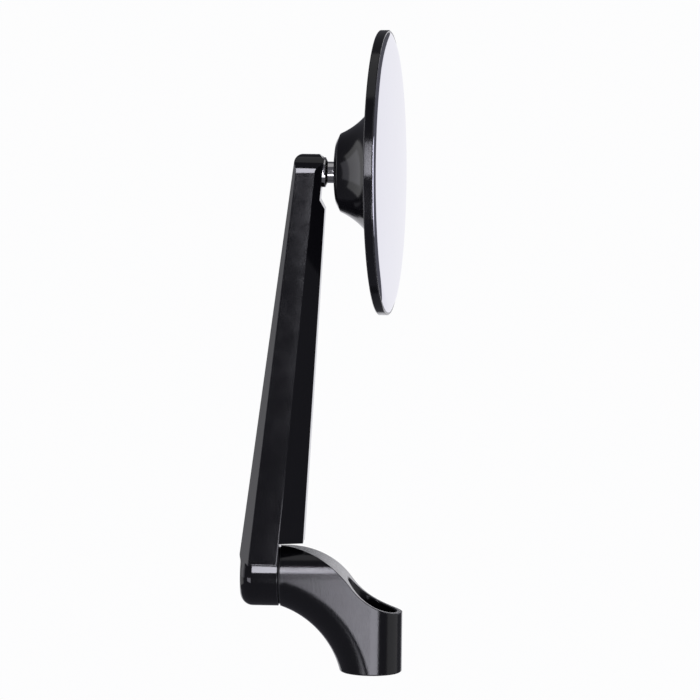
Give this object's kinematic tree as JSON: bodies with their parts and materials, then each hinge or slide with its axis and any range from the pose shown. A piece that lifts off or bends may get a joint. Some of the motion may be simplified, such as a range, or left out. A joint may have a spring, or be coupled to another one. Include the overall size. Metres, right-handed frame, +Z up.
{
  "type": "bicycle mirror",
  "caption": "Round convex mirror on a ball joint, carried by a slim tapering arm that swivels on a curved aluminium bracket with a counterbored bolt foot.",
  "frame": {"origin": "centre of the foot's bottom face, on the axis of the mounting bolt hole", "axes": "+Z up along the mounting bolt hole, +X the way the mirror faces, +Y to the side"},
  "size_m": [0.0548, 0.0949, 0.216],
  "materials": {
    "black_anodised": "black anodised, satin, faint machining grain",
    "black_anodised_hub": "black anodised, turned",
    "black_anodised_plate": "black anodised, turned",
    "plain_aluminium": "as machined",
    "stainless": "plain stainless",
    "polished_stainless": "polished",
    "spring_steel": "oiled spring steel",
    "black_oxide_steel": "black oxide",
    "acetal": "natural white, slightly waxy",
    "acetal_seat": "black, smooth",
    "black_plastic": "black, fine texture",
    "foam_tape": "grey closed-cell foam",
    "mirror": "silvered convex glass with a ground bevel"
  },
  "bodies": {
    "base": {"base_bracket": "black_anodised", "pivot_bolt": "stainless", "pivot_washer": "stainless", "pivot_disc_springs": "spring_steel", "friction_washer": "acetal_seat"},
    "swivel_arm": {"arm": "black_anodised", "pivot_bush": "acetal", "pivot_cap": "black_plastic", "ball_stud": "polished_stainless", "stud_lock_screw": "black_oxide_steel"},
    "liner": {"ball_liner": "acetal"},
    "socket": {"rear_seat": "acetal_seat", "front_cup": "acetal_seat"},
    "head": {"hub": "black_anodised_hub", "seat_disc_springs": "spring_steel", "adjusting_ring": "plain_aluminium", "mirror_plate": "black_anodised_plate", "plate_screws": "stainless", "adhesive_pad": "foam_tape", "mirror_glass": "mirror"}
  },
  "joints": [
    {"name": "arm_swivel", "type": "hinge", "parent": "base", "child": "swivel_arm", "pos_m": [-0.031, 0, 0.0321], "axis": [1, 0, 0], "range_deg": [-90, 90]},
    {"name": "head_turn", "type": "hinge", "parent": "swivel_arm", "child": "liner", "pos_m": [-0.0066, 0, 0.16835], "axis": [0, 0, 1], "range_deg": [-7.4, 16.6]},
    {"name": "head_tilt", "type": "hinge", "parent": "liner", "child": "socket", "pos_m": [-0.0066, 0, 0.16835], "axis": [0.0802, 0.9968, 0], "range_deg": [-11.25, 12.75]},
    {"name": "head_roll", "type": "hinge", "parent": "socket", "child": "head", "pos_m": [-0.0066, 0, 0.16835], "axis": [0.9967, -0.0802, 0.0131], "continuous": true}
  ]
}
